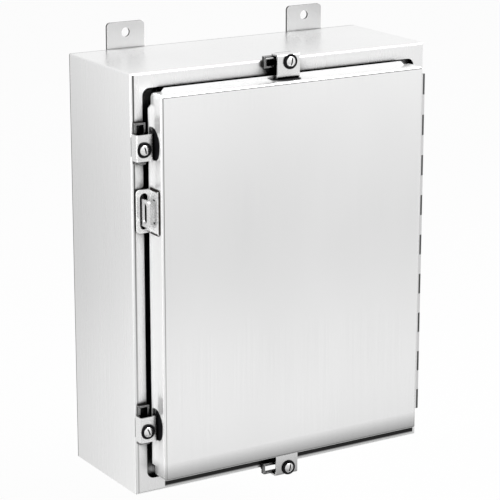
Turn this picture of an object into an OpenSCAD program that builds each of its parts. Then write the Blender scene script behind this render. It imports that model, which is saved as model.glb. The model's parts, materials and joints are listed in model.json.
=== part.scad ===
// Wall-mounted fused disconnect switch in a stainless-steel clamp-cover enclosure.
// The frame: +Z up, the front faces -Y, the wall is the plane y = 0, and the
// origin is the centre of the four wall-mounting holes.

/* [Enclosure body] */
// Outside width of the body
body_w = 406.4; // [380:0.1:520]
// Outside height of the body
body_h = 508; // [500:0.1:640]
// Depth of the body behind the face of its front flange
body_d = 152.4; // [150:0.1:200]
// Thickness of the body's sheet steel
sheet_t = 1.9; // [1.5:0.1:2.4]
// Outside radius of the folds around the front flange
fold_r = 3.4; // [2.8:0.1:5]
// Outside radius of the welded edges that run from the front to the back
edge_r = 1.8; // [1:0.1:2.4]
// Width of the front flange at the sides, from the body's edge to the gutter
flange_w = 15.2; // [14.8:0.1:16.5]
// Width of the front flange at the top and the bottom
flange_end_w = 18.3; // [16:0.1:18.6]
// Depth of the gutter behind the flange
gutter_depth = 9; // [7:0.5:12]
// Corner radius of the gutter's outer edge
gutter_r = 9; // [8:0.5:12]
// Distance from the body's edge to the lip around the opening
rim_in = 31.6; // [31.2:0.1:34]
// Width of the lip's turned-in edge
rim_w = 4.8; // [4:0.1:6]
// Thickness of that edge, folded double
rim_t = 3.8; // [3:0.1:5]

/* [Wall feet] */
// Thickness of a foot
foot_t = 3; // [2.5:0.1:4]
// Width of a foot
foot_w = 50.8; // [40:0.1:60]
// How far a foot stands out past the body
foot_out = 31.75; // [28:0.05:38]
// How far a foot laps the back of the body
foot_lap = 32; // [20:0.5:50]
// Radius of the hole in a foot
foot_hole_r = 5.55; // [4:0.05:7]
// Distance from the body's edge to the centre of the hole
foot_hole_out = 19.05; // [14:0.05:20]
// Distance between the feet, centre to centre
foot_pitch = 254; // [200:0.5:300]
// Corner radius of a foot
foot_r = 5; // [3:0.5:12]

/* [Door] */
// Distance from the body's left edge to the door's wall
door_in = 22.5; // [22.4:0.1:24]
// Distance from the body's right edge to the door's wall
door_in_hinge = 22.5; // [21:0.1:24]
// Distance from the body's top and bottom edges to the door's walls
door_in_ends = 23; // [22.4:0.1:24]
// Distance from the flange to the front of the door
door_proud = 30.5; // [28:0.1:34]
// Thickness of the door's sheet steel
door_t = 1.9; // [1.5:0.1:2.4]
// Outside radius of the folds around the door's face
door_r = 3; // [2.6:0.1:4.5]
// Radius of the door's four corners, seen from the front
door_corner_r = 5; // [3:0.1:8]
// Distance from the body's left, top and bottom edges to the door's lip
lip_in = 18.7; // [18.5:0.1:20]
// Distance from the lip's square corners to the ends of its free edges
lip_notch = 21; // [18:0.5:30]
// Width of the lip on the hinge side
lip_hinge_w = 13; // [11:0.1:13.4]
// Thickness of the gasket on the inside of the door
gasket_t = 6.5; // [5:0.1:8]
// Width of the gasket
gasket_w = 10; // [8:0.5:14]

/* [Hinge] */
// Radius of the hinge pin
pin_r = 1.6; // [1.2:0.05:1.8]
// Outside radius of the hinge's knuckles
knuckle_r = 3.1; // [2.8:0.05:3.4]
// Length of one knuckle
knuckle_l = 25.4; // [20:0.1:30]
// Number of knuckles, odd
knuckle_n = 17; // [13:2:17]
// Thickness of the hinge's leaves
leaf_t = 1.5; // [1.2:0.05:1.6]
// Distance from the body's right edge to the centre of the pin
pin_in = 3.8; // [3.6:0.1:4.2]
// Distance from the door's wall to the edge of the door's leaf
leaf_in = 1.5; // [1:0.1:4]
// Gap between neighbouring knuckles
knuckle_gap = 0.3; // [0.2:0.05:0.6]

/* [Clamps] */
// Length of a clamp's bracket
bracket_l = 48; // [47.5:0.5:52]
// Height of the bracket above the flange
bracket_h = 6.4; // [6.3:0.1:7.5]
// Thickness of the bracket's sheet
bracket_t = 1.7; // [1.4:0.1:1.8]
// Length of a clamp's plate
plate_l = 31; // [28:0.5:33]
// Thickness of a clamp's plate
plate_t = 2; // [1.6:0.1:2.3]
// Outside radius of the plate's two bends
plate_r = 3; // [2.6:0.1:4]
// Height of the plate's front face above the flange
plate_h = 15; // [13.5:0.1:16]
// How far the bracket runs past the plate at its closed end
plate_inset = 5; // [3:0.5:5.5]
// Distance from that end of the plate to the middle of its screw
screw_up = 13.5; // [12:0.5:14]
// How far the nut slides from there to the wide end of the slot
nut_slide = 22; // [19:0.5:22]
// Thickness of the tab under the plate's heel
seat_t = 1.5; // [1.2:0.1:2]
// How far this tab stops short of the plate's ends
seat_inset = 4; // [3:0.5:6]
// How far the heel of a side clamp stands outside the body's edge
heel_out_side = 0.6; // [0:0.1:1]
// How far the heel of the top clamp stands outside the body's edge
heel_out_top = 6.5; // [5:0.1:8]
// How far the heel of the bottom clamp stands outside the body's edge
heel_out_bottom = 8.5; // [6:0.1:9]
// Distance from the body's top edge to the middle of the upper side clamp's bracket
clamp_top_in = 80.5; // [69:0.5:100]
// Distance from the body's bottom edge to the middle of the lower side clamp's bracket
clamp_bottom_in = 89.5; // [69:0.5:100]
// Distance of the top and bottom clamps' brackets to the left of the body's middle
clamp_left = 5; // [0:0.5:10]
// Radius of the clamp screw's shank
screw_r = 3; // [2.6:0.05:3.2]
// Radius of its head
screw_head_r = 6; // [5:0.1:6.4]
// Height of its head
screw_head_h = 3.4; // [3:0.1:4]
// Radius of the washer under the head
washer_r = 8; // [6.8:0.1:8.2]
// Thickness of the washer
washer_t = 1.2; // [1:0.1:1.6]
// Width of the slot in the screw's head
screw_slot_w = 1.8; // [1.4:0.1:2]
// Depth of that slot
screw_slot_depth = 1.6; // [1.2:0.1:2]
// Side of the square nut in the bracket
nut_w = 9.4; // [9:0.1:9.6]
// Thickness of the nut
nut_t = 4; // [3.4:0.1:4]

/* [Padlock hasp] */
// Height of the hasp above the body's middle
hasp_up = 94; // [60:0.5:110]
// Length of the hasp
hasp_l = 51; // [46:0.5:60]
// Height of the top of the hasp's leg above the flange
hasp_leg_h = 24.7; // [20:0.1:25]
// Distance from the body's edge to the hasp's outer edge
hasp_in = 3; // [2:0.5:5]
// Distance from the left end of the slot's width to the staple
staple_gap = 1.4; // [1.2:0.1:2]
// Thickness of the hasp and of its staple
hasp_t = 2.4; // [2:0.1:3]
// Length of the slot in the hasp
hasp_slot_l = 43; // [40:0.5:44]
// Width of that slot
hasp_slot_w = 11; // [10:0.5:12]
// Width of metal between the hasp's outer edge and its slot
hasp_rim = 4; // [3.5:0.1:4.5]
// Corner radius of the hasp and of the staple
hasp_r = 4; // [3:0.5:6]
// Length of the staple
staple_l = 32; // [28:0.5:34]
// Height of the staple above the flange
staple_h = 24; // [23:0.5:28]
// Length of the staple's padlock hole
staple_hole_l = 24; // [20:0.5:26]
// Width of the staple's padlock hole
staple_hole_w = 9; // [8:0.1:10]

/* [Back panel] */
// Width of the panel
panel_w = 330.2; // [300:0.1:340]
// Height of the panel
panel_h = 431.8; // [400:0.1:440]
// Thickness of the panel
panel_t = 2.5; // [2:0.1:3]
// Distance from the body's back wall to the panel
panel_off = 12.7; // [10:0.1:16]
// Distance from the panel's edges to its studs
stud_in = 9.5; // [9:0.1:14]
// Radius of the studs
stud_r = 3.9; // [3:0.1:4.2]
// Length of the studs in front of the panel
stud_out = 12; // [10:0.5:16]
// Thickness of the studs' nuts
stud_nut_t = 6.5; // [5:0.1:8]
// Radius of the shoulder that carries the panel
shoulder_r = 7; // [6:0.1:8]
// Distance from the panel's edges to the ground lug's middle line and mouth
ground_in = 34; // [32:1:36]

/* [Switch] */
// Distance between poles
pole_pitch = 50; // [46:0.5:52]
// Thickness of the insulating bases
base_t = 16; // [14:0.5:20]
// Height of the switch above the panel's middle, at the blades' pivot
pivot_up = 75; // [70:1:82]
// Distance from the pivot to the centre of the line jaws
blade_reach = 75; // [70:1:80]
// Thickness of a blade
blade_t = 2.5; // [2:0.1:3]
// Width of a blade
blade_w = 14; // [12:0.5:16]
// How far a blade runs on past the centre of its jaws
blade_past = 8; // [7:0.5:9]
// Width of the copper straps
strap_w = 16; // [14:0.5:17]
// Thickness of the copper straps
strap_t = 2.5; // [2:0.1:3]
// Distance from the base's face to the blades' pivot
pivot_out = 18; // [16:0.5:20]
// Radius of the blades' pivot pins
pivot_r = 3; // [2.5:0.1:3.5]
// Thickness of a barrier between poles
barrier_t = 4; // [3:0.1:5]
// Height of the barriers above the bases
barrier_h = 42; // [38:0.5:46]
// Side of the insulating crossbar
crossbar_s = 14; // [12:0.5:15]
// Distance from the pivot up to the crossbar's middle
crossbar_up = 32; // [31:0.5:34]
// Length of the operating lever
lever_l = 82; // [70:1:88]
// Radius of the lever's grip
grip_r = 9; // [7:0.5:11]
// How far the switch's base reaches below the pivot
base_drop = 36; // [34:1:40]
// How far the side walls of the base reach below its line lugs
wall_drop = 28; // [24:1:32]
// Distance from the outer poles to the screws of the bases
base_screw_out = 18; // [17:0.5:20]
// Distance from the ends of the bases to these screws
base_screw_in = 12; // [10:0.5:14]
// Distance from the outer poles to the ends of the crossbar
crossbar_out = 12; // [11:0.5:13]
// Space between the switch's base and the fuses' base
base_space = 24; // [20:1:28]

/* [Fuses and terminals] */
// Radius of a fuse's ferrules
ferrule_r = 10.3; // [9:0.1:11]
// Radius of a fuse's tube
fuse_r = 9.4; // [8.4:0.1:10]
// Length of a fuse
fuse_l = 127; // [120:0.5:130]
// Length of a ferrule
ferrule_l = 16; // [12:0.5:18]
// Depth of the fuses' middle below the panel's middle
fuse_offset = 90; // [85:1:94]
// Width of a terminal lug
lug_w = 20; // [18:0.5:24]
// Height of a terminal lug
lug_h = 24; // [22:0.5:26]
// Thickness of a terminal lug
lug_d = 20; // [18:0.5:22]
// Radius of a lug's wire hole
wire_r = 4.5; // [3.5:0.1:5]
// Depth of a lug's wire hole
wire_hole_l = 18; // [15:0.5:20]
// Thickness of a lug's floor under its wire hole
lug_floor = 3.5; // [3:0.1:4]
// Radius of a lug's set screw
set_r = 4; // [3:0.1:4.5]
// Thickness of the clear shield
shield_t = 2.4; // [2:0.1:3]

/* [Document pocket] */
// Width of the pocket
pocket_w = 200; // [150:1:230]
// Height of the pocket
pocket_h = 150; // [120:1:180]
// Depth of the pocket
pocket_d = 20; // [12:0.5:22]
// Thickness of the pocket's walls
pocket_t = 2; // [1.5:0.1:2.5]
// Distance of the pocket's middle below the door's middle
pocket_down = 60; // [50:1:70]

/* [Clearances] */
// Gap between parts that move past each other
run_gap = 0.3; // [0.25:0.05:0.4]
// Radial clearance of a pin in its bore
pin_gap = 0.06; // [0.03:0.01:0.1]
// Radial clearance of a screw in its hole
screw_gap = 0.4; // [0.3:0.05:0.6]

/* [Hidden] */
$fn = 48;
eps = 0.01;

// Body: the half sizes, and the planes from the wall to the front
body_x = body_w / 2;
body_z = body_h / 2;
back_y = -foot_t;
flange_y = back_y - body_d;
rim_tip_h = door_proud - door_t - gasket_t - run_gap;
rim_corner_r = gutter_r - 2;

// Hinge: the pin stands clear of the flange, and its leaves lie either side of it
pin_x = body_x - pin_in;
pin_h = knuckle_r + run_gap;
lip_back_h = pin_h + knuckle_r;
hinge_l = knuckle_n * knuckle_l;

// Door: its left and right walls and half height
door_x0 = -body_x + door_in;
door_x1 = body_x - door_in_hinge;
door_z = body_z - door_in_ends;

// Clamps: heights above the flange, from the lip outwards
toe_h = lip_back_h + door_t + run_gap;
nut_h = bracket_h - bracket_t - nut_t - run_gap;
bracket_w = nut_w + 2 * (bracket_t + run_gap);
clamp_heel = [heel_out_side, heel_out_side, heel_out_top, heel_out_bottom];
clamp_toe = [for (wall = [door_in, door_in, door_in_ends, door_in_ends]) wall - run_gap];
clamp_slot_turn = [-12, -20, 80, -75];

// Hasp: the slot is centred between the hasp's outer edge and the door's wall
hasp_x = -body_x + hasp_in;
hasp_slot_x = hasp_x + hasp_rim + hasp_slot_w / 2;
staple_x = hasp_x + hasp_rim + staple_gap;
hasp_h = lip_back_h - hasp_t - run_gap;
hasp_z = hasp_up;

// Panel
panel_back_y = back_y - sheet_t - panel_off;
panel_y = panel_back_y - panel_t;
stud_x = panel_w / 2 - stud_in;
stud_z = panel_h / 2 - stud_in;

// Switch: x of each pole, and the heights of its parts above the panel
POLES = [-pole_pitch, 0, pole_pitch];
strap_d = base_t + strap_t;
pivot_d = base_t + pivot_out;
jaw_z = pivot_up + blade_reach;
blade_tip = blade_reach + blade_past;
post_w = 2;
ear_half = 8;
post_half = blade_t / 2 + run_gap / 2;
lug_z = jaw_z + 15;
lug_back = strap_d;
base_half_w = pole_pitch * 1.5 + 2 * barrier_t;
base_top = lug_z + lug_h + 16;
base_bottom = pivot_up - base_drop;
barrier_end = base_t + barrier_h;
side_wall_x = base_half_w - barrier_t / 2;

// Fuses
fuse_z0 = -fuse_offset - fuse_l / 2;
fuse_z1 = -fuse_offset + fuse_l / 2;
clip_l = ferrule_l;
clip_t = 1.5;
clip_saddle = 2.6;
lug_gap = 8;
fuse_d = strap_d + clip_saddle + run_gap + ferrule_r;
clip_arm_d = fuse_d + ferrule_r * 0.8;
load_lug_z = fuse_z0 - lug_gap - lug_h;
fuse_base_top = base_bottom - base_space;
fuse_base_bottom = load_lug_z - 6;

// Shield
shield_rod_r = 2;
shield_roll_r = shield_rod_r + shield_t;
shield_rod_z = base_top - 6;
shield_rod_d = barrier_end + run_gap + shield_roll_r;
shield_low_z = lug_z - 2;

// ---------- shared shapes ----------

// A rectangle with round corners, centred
module round_rect(w, h, r) {
    union() {
        square([w - 2 * r, h], center = true);
        square([w, h - 2 * r], center = true);
        for (i = [-1, 1], j = [-1, 1])
            translate([i * (w / 2 - r), j * (h / 2 - r)]) circle(r);
    }
}

// A round-cornered slab in the XZ plane, between two heights above the flange
module slab(x0, x1, z0, z1, h0, h1, r) {
    translate([(x0 + x1) / 2, flange_y - h0, (z0 + z1) / 2])
        rotate([90, 0, 0])
            linear_extrude(h1 - h0) round_rect(x1 - x0, z1 - z0, r);
}

// A rectangle from y = 0 to y = -d whose two front corners are round
module front_rounded(w, d, r) {
    union() {
        translate([-w / 2, -d + r]) square([w, d - r]);
        translate([-w / 2 + r, -d]) square([w - 2 * r, d]);
        for (i = [-1, 1]) translate([i * (w / 2 - r), -d + r]) circle(r);
    }
}

// A box whose front edges are folded to radius r and whose edges from the
// front to the back have radius r_edge: from y_back forwards by depth
module folded_box(w, h, y_back, depth, r, r_edge) {
    translate([0, y_back, 0]) intersection() {
        translate([0, 0, -h / 2]) linear_extrude(h) front_rounded(w, depth, r);
        rotate([0, 90, 0]) translate([0, 0, -w / 2])
            linear_extrude(w) front_rounded(h, depth, r);
        rotate([90, 0, 0]) linear_extrude(depth) round_rect(w, h, r_edge);
    }
}

// A box given by its corners
module block(a, b) {
    translate(a) cube(b - a);
}

// A cylinder along X, Y or Z from a point
module rod_x(p, l, r) {
    translate(p) rotate([0, 90, 0]) cylinder(h = l, r = r);
}
module rod_front(p, l, r) {
    translate(p) rotate([90, 0, 0]) cylinder(h = l, r = r);
}

// A six-sided prism pointing forwards, by its width across flats
module hex_front(p, l, flats) {
    translate(p) rotate([90, 30, 0]) cylinder(h = l, r = flats / sqrt(3), $fn = 6);
}

// A point of the panel's front face, and a block standing on it
function on_panel(x, d, z) = [x, panel_y - d, z];
module panel_block(x0, x1, d0, d1, z0, z1) {
    block([x0, panel_y - d1, z0], [x1, panel_y - d0, z1]);
}

// ---------- enclosure ----------

// The space inside the flange, grown by a margin, between two heights
module flange_mouth(margin, h0, h1) {
    x = body_x - flange_w + margin;
    z = body_z - flange_end_w + margin;
    slab(-x, x, -z, z, h0, h1, gutter_r + margin);
}

module enclosure_body() {
    color([0.86, 0.87, 0.88]) difference() {
        folded_box(body_w, body_h, back_y, body_d, fold_r, edge_r);
        folded_box(body_w - 2 * sheet_t, body_h - 2 * sheet_t, back_y - sheet_t,
                   body_d - 2 * sheet_t, fold_r - sheet_t, edge_r / 2);
        flange_mouth(0, -gutter_depth, 1);
    }
}

// The rain gutter hangs on the back of the flange, as a wall and a floor
module gutter_wall() {
    color([0.84, 0.85, 0.86]) difference() {
        flange_mouth(sheet_t, -gutter_depth - sheet_t, -sheet_t);
        flange_mouth(0, -gutter_depth - 2 * sheet_t, 1);
    }
}

module gutter_floor() {
    color([0.84, 0.85, 0.86]) difference() {
        flange_mouth(0, -gutter_depth - sheet_t, -gutter_depth);
        slab(-body_x + rim_in, body_x - rim_in, -body_z + rim_in, body_z - rim_in,
             -gutter_depth - 2 * sheet_t, 1, rim_corner_r);
    }
}

// The lip around the opening, with its edge turned inwards
module opening_rim() {
    in = rim_in + sheet_t;
    edge_in = rim_in + rim_w;
    color([0.84, 0.85, 0.86]) difference() {
        slab(-body_x + rim_in, body_x - rim_in, -body_z + rim_in, body_z - rim_in,
             -gutter_depth - sheet_t, rim_tip_h, rim_corner_r);
        slab(-body_x + in, body_x - in, -body_z + in, body_z - in,
             -gutter_depth - 2 * sheet_t, rim_tip_h - rim_t, rim_corner_r - sheet_t);
        slab(-body_x + edge_in, body_x - edge_in, -body_z + edge_in, body_z - edge_in,
             0, rim_tip_h + 1, rim_corner_r - rim_w);
    }
}

module mounting_feet() {
    color([0.84, 0.85, 0.86]) for (i = [-1, 1], j = [0, 1])
        mirror([0, 0, j]) translate([i * foot_pitch / 2, 0, body_z]) difference() {
            rotate([90, 0, 0]) linear_extrude(foot_t) union() {
                translate([-foot_w / 2, -foot_lap]) square([foot_w, foot_lap + foot_out - foot_r]);
                translate([-foot_w / 2 + foot_r, 0]) square([foot_w - 2 * foot_r, foot_out]);
                for (k = [-1, 1])
                    translate([k * (foot_w / 2 - foot_r), foot_out - foot_r]) circle(foot_r);
            }
            rod_front([0, 1, foot_hole_out], foot_t + 2, foot_hole_r);
        }
}

// ---------- clamps ----------

// Puts a clamp drawn for the left edge on its own edge. In the drawing the
// body's edge is x = 0, x grows inwards, and z runs along the bracket, from
// its closed end at 0 to its open end.
module at_clamp(n) {
    if (n == 1) translate([-body_x, flange_y, body_z - clamp_top_in - bracket_l / 2])
        children();
    if (n == 2) translate([-body_x, flange_y, -body_z + clamp_bottom_in - bracket_l / 2])
        children();
    if (n == 3) translate([-clamp_left + bracket_l / 2, flange_y, body_z])
        rotate([0, 90, 0]) mirror([0, 0, 1]) children();
    if (n == 4) translate([-clamp_left + bracket_l / 2, flange_y, -body_z])
        mirror([0, 0, 1]) rotate([0, 90, 0]) mirror([0, 0, 1]) children();
}

function bracket_near(n) = plate_t + run_gap - clamp_heel[n - 1];
function clamp_line(n) = bracket_near(n) + bracket_w / 2;
function clamp_screw_z() = plate_inset + screw_up;

// The bracket is a shallow open-backed box with a slot along its face that
// widens at the open end, where the nut goes in; a tab seats the plate's heel
module clamp_bracket(n) {
    x = clamp_line(n);
    near = bracket_near(n);
    far = near + bracket_w;
    open_z = clamp_screw_z() + nut_slide - nut_w / 2 - run_gap;
    block([-clamp_heel[n - 1], -seat_t, plate_inset + seat_inset],
          [near + eps, 0, plate_inset + plate_l - seat_inset]);
    difference() {
        block([near, -bracket_h, 0], [far, 0, bracket_l]);
        block([near + bracket_t, -bracket_h + bracket_t, bracket_t],
              [far - bracket_t, 1, bracket_l - bracket_t]);
        block([x - screw_r - screw_gap, -bracket_h - 1, bracket_t],
              [x + screw_r + screw_gap, -nut_h, bracket_l - bracket_t]);
        block([near + bracket_t, -bracket_h - 1, open_z],
              [far - bracket_t, -nut_h, bracket_l - bracket_t]);
    }
}

module clamp_brackets() {
    color([0.8, 0.81, 0.82]) for (n = [1 : 4]) at_clamp(n) clamp_bracket(n);
}

// The plate is a channel: its heel's leg stands on the bracket's tab, and the
// shorter leg of its toe stands on the door's lip
module clamp_plate(n) {
    heel = -clamp_heel[n - 1];
    w = clamp_toe[n - 1] - heel;
    middle = heel + w / 2;
    heel_tip_h = seat_t + run_gap;
    color([0.87, 0.88, 0.89]) at_clamp(n) difference() {
        translate([0, 0, plate_inset]) linear_extrude(plate_l) difference() {
            translate([middle, 0]) front_rounded(w, plate_h, plate_r);
            translate([middle, 1])
                front_rounded(w - 2 * plate_t, plate_h - plate_t + 1, plate_r - plate_t);
            translate([heel - 1, -heel_tip_h]) square([w / 2 + 1, heel_tip_h + 1]);
            translate([middle, -toe_h]) square([w / 2 + 1, toe_h + 1]);
        }
        rod_front([clamp_line(n), -bracket_h, clamp_screw_z()],
                  plate_h, screw_r + screw_gap);
    }
}

module clamp_nut(n) {
    x = clamp_line(n);
    color([0.7, 0.71, 0.72]) at_clamp(n) difference() {
        block([x - nut_w / 2, -nut_h - nut_t, clamp_screw_z() - nut_w / 2],
              [x + nut_w / 2, -nut_h, clamp_screw_z() + nut_w / 2]);
        rod_front([x, 0, clamp_screw_z()], plate_h, screw_r + pin_gap);
    }
}

module clamp_washer(n) {
    color([0.13, 0.13, 0.14]) at_clamp(n) difference() {
        rod_front([clamp_line(n), -plate_h, clamp_screw_z()], washer_t, washer_r);
        rod_front([clamp_line(n), -plate_h + 1, clamp_screw_z()], washer_t + 2,
                  screw_r + pin_gap);
    }
}

// A slotted screw with a domed head
module clamp_screw(n) {
    head = plate_h + washer_t;
    crown_r = screw_head_r * 1.6;
    slot_floor = head + screw_head_h - screw_slot_depth;
    color([0.82, 0.83, 0.84]) at_clamp(n)
        translate([clamp_line(n), 0, clamp_screw_z()]) difference() {
            union() {
                rod_front([0, -nut_h, 0], head - nut_h + eps, screw_r);
                translate([0, -head, 0]) rotate([90, 0, 0]) rotate_extrude() intersection() {
                    square([screw_head_r, screw_head_h]);
                    translate([0, screw_head_h - crown_r]) circle(crown_r);
                }
            }
            rotate([0, clamp_slot_turn[n - 1], 0])
                block([-screw_slot_w / 2, -slot_floor - screw_head_h, -2 * screw_head_r],
                      [screw_slot_w / 2, -slot_floor, 2 * screw_head_r]);
        }
}

// ---------- padlock hasp ----------

module padlock_staple() {
    y0 = flange_y;
    hole_mid = (hasp_h + hasp_t + staple_h) / 2;
    r = staple_hole_w / 2;
    color([0.86, 0.87, 0.88]) difference() {
        translate([staple_x, y0, hasp_z]) rotate([90, 0, 90])
            linear_extrude(hasp_t) mirror([1, 0]) union() {
                translate([0, -staple_l / 2]) square([staple_h - hasp_r, staple_l]);
                translate([0, -staple_l / 2 + hasp_r])
                    square([staple_h, staple_l - 2 * hasp_r]);
                for (j = [-1, 1])
                    translate([staple_h - hasp_r, j * (staple_l / 2 - hasp_r)]) circle(hasp_r);
            }
        for (j = [-1, 1])
            rod_x([staple_x - 1, y0 - hole_mid, hasp_z + j * (staple_hole_l / 2 - r)],
                  hasp_t + 2, r);
        block([staple_x - 1, y0 - hole_mid - r, hasp_z - staple_hole_l / 2 + r],
              [staple_x + hasp_t + 1, y0 - hole_mid + r, hasp_z + staple_hole_l / 2 - r]);
    }
}

// An angle welded to the door's wall, with its slotted leg over the flange
module padlock_hasp() {
    r = hasp_slot_w / 2;
    leg_x = door_x0 - hasp_t;
    color([0.87, 0.88, 0.89]) difference() {
        union() {
            slab(hasp_x, door_x0 - 1, hasp_z - hasp_l / 2, hasp_z + hasp_l / 2,
                 hasp_h, hasp_h + hasp_t, hasp_r);
            block([leg_x, flange_y - hasp_leg_h, hasp_z - hasp_l / 2],
                  [door_x0, flange_y - hasp_h, hasp_z + hasp_l / 2]);
        }
        for (j = [-1, 1])
            rod_front([hasp_slot_x, flange_y, hasp_z + j * (hasp_slot_l / 2 - r)],
                      lip_back_h, r);
        block([hasp_slot_x - r, flange_y - lip_back_h, hasp_z - hasp_slot_l / 2 + r],
              [hasp_slot_x + r, flange_y, hasp_z + hasp_slot_l / 2 - r]);
    }
}

// ---------- hinge ----------

// One leaf: its knuckles are the even or the odd ones
module hinge_leaf(side, plate_x, plate_h0) {
    difference() {
        union() {
            block([plate_x, flange_y - plate_h0 - leaf_t, -hinge_l / 2],
                  [pin_x, flange_y - plate_h0, hinge_l / 2]);
            for (k = [side : 2 : knuckle_n - 1])
                translate([pin_x, flange_y - pin_h, -hinge_l / 2 + k * knuckle_l + knuckle_gap / 2])
                    cylinder(h = knuckle_l - knuckle_gap, r = knuckle_r);
        }
        for (k = [1 - side : 2 : knuckle_n - 1])
            translate([pin_x, flange_y - pin_h, -hinge_l / 2 + k * knuckle_l - knuckle_gap / 2])
                cylinder(h = knuckle_l + knuckle_gap, r = knuckle_r + run_gap);
        translate([pin_x, flange_y - pin_h, -hinge_l / 2 - 1])
            cylinder(h = hinge_l + 2, r = pin_r + pin_gap);
    }
}

module hinge_leaf_body() {
    color([0.75, 0.76, 0.77]) hinge_leaf(0, body_x - flange_w, 0);
}

module hinge_leaf_door() {
    color([0.8, 0.81, 0.82]) hinge_leaf(1, door_x1 + leaf_in, lip_back_h - leaf_t);
}

module hinge_pin() {
    color([0.7, 0.71, 0.72]) translate([pin_x, flange_y - pin_h, -hinge_l / 2])
        cylinder(h = hinge_l, r = pin_r);
}

// ---------- door ----------

// The door is a flanged pan; its lip is cut short at the corners
module door_panel() {
    w = door_x1 - door_x0;
    x = (door_x0 + door_x1) / 2;
    depth = door_proud - lip_back_h;
    color([0.88, 0.89, 0.9]) {
        difference() {
            translate([x, 0, 0])
                folded_box(w, 2 * door_z, flange_y - lip_back_h, depth, door_r, door_corner_r);
            translate([x, 0, 0])
                folded_box(w - 2 * door_t, 2 * (door_z - door_t), flange_y - lip_back_h + eps,
                           depth - door_t + eps, door_r - door_t, door_corner_r - door_t);
        }
        translate([0, flange_y - lip_back_h, 0]) rotate([90, 0, 0])
            linear_extrude(door_t) lip_outline();
    }
}

// The lip from the front: cut at 45 degrees at the corners, open where the
// hasp passes, and as long as the hinge on the hinge side
module lip_outline() {
    x = body_x - lip_in;
    z = body_z - lip_in;
    hasp_half = hasp_l / 2 + run_gap;
    difference() {
        union() {
            polygon([
                [-x, -z + lip_notch], [-x + lip_notch, -z], [x - lip_notch, -z],
                [door_x1, -z + lip_notch + door_x1 - x],
                [door_x1, z - lip_notch - door_x1 + x], [x - lip_notch, z],
                [-x + lip_notch, z], [-x, z - lip_notch],
            ]);
            translate([door_x1 - eps, -hinge_l / 2]) square([lip_hinge_w + eps, hinge_l]);
        }
        translate([door_x0 + eps, -door_z + eps])
            square([door_x1 - door_x0 - 2 * eps, 2 * (door_z - eps)]);
        translate([-body_x, hasp_z - hasp_half])
            square([body_x + door_x0, 2 * hasp_half]);
    }
}

// The gasket's ring lies over the middle of the rim of the opening
module door_gasket() {
    out = rim_in - (gasket_w - rim_w) / 2;
    in = out + gasket_w;
    color([0.13, 0.13, 0.14]) difference() {
        slab(-body_x + out, body_x - out, -body_z + out, body_z - out,
             door_proud - door_t - gasket_t, door_proud - door_t, gasket_w);
        slab(-body_x + in, body_x - in, -body_z + in, body_z - in, 0, door_proud, 2);
    }
}

module document_pocket() {
    y1 = flange_y - door_proud + door_t;
    z0 = -pocket_h / 2 - pocket_down;
    color([0.6, 0.62, 0.64]) difference() {
        block([-pocket_w / 2, y1, z0], [pocket_w / 2, y1 + pocket_d, z0 + pocket_h]);
        block([-pocket_w / 2 + pocket_t, y1 + pocket_t, z0 + pocket_t],
              [pocket_w / 2 - pocket_t, y1 + pocket_d - pocket_t, z0 + pocket_h + 1]);
    }
}

// ---------- back panel ----------

module back_panel() {
    color([0.95, 0.95, 0.94]) difference() {
        block([-panel_w / 2, panel_y, -panel_h / 2], [panel_w / 2, panel_back_y, panel_h / 2]);
        for (i = [-1, 1], j = [-1, 1])
            rod_front([i * stud_x, panel_back_y + 1, j * stud_z], panel_t + 2,
                      stud_r + screw_gap);
        base_screw_holes();
    }
}

module panel_studs() {
    color([0.75, 0.76, 0.77]) for (i = [-1, 1], j = [-1, 1]) {
        rod_front([i * stud_x, back_y - sheet_t, j * stud_z], panel_off, shoulder_r);
        rod_front([i * stud_x, back_y - sheet_t, j * stud_z],
                  panel_off + panel_t + stud_out, stud_r);
    }
}

module panel_nuts() {
    color([0.72, 0.73, 0.74]) for (i = [-1, 1], j = [-1, 1]) difference() {
        hex_front([i * stud_x, panel_y, j * stud_z], stud_nut_t, 3.4 * stud_r);
        rod_front([i * stud_x, panel_y + 1, j * stud_z], stud_nut_t + 2, stud_r + pin_gap);
    }
}

// A terminal lug standing on the panel side: its wire hole opens up or down
module lug(x, back, z0, up) {
    d_wire = back + lug_floor + wire_r;
    z_mouth = up ? z0 + lug_h : z0;
    difference() {
        panel_block(x - lug_w / 2, x + lug_w / 2, back, back + lug_d, z0, z0 + lug_h);
        translate(on_panel(x, d_wire, up ? z_mouth - wire_hole_l : z_mouth - 1))
            cylinder(h = wire_hole_l + 1, r = wire_r);
        rod_front(on_panel(x, d_wire, z0 + lug_h / 2), lug_d, set_r + pin_gap);
    }
}

module lug_screw(x, back, z0) {
    tip = back + lug_floor + 2 * wire_r + run_gap;
    top = back + lug_d + set_proud;
    difference() {
        rod_front(on_panel(x, tip, z0 + lug_h / 2), top - tip, set_r);
        panel_block(x - set_r, x + set_r, top - set_proud, top + 1,
                    z0 + lug_h / 2 - slot_half, z0 + lug_h / 2 + slot_half);
    }
}

set_proud = 1.5;
ground_x = panel_w / 2 - ground_in;
ground_z = -panel_h / 2 + ground_in;

module ground_lug() {
    color([0.7, 0.71, 0.7]) lug(ground_x, 0, ground_z, false);
}

module ground_screw() {
    color([0.2, 0.45, 0.25]) lug_screw(ground_x, 0, ground_z);
}

// ---------- switch ----------

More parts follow.
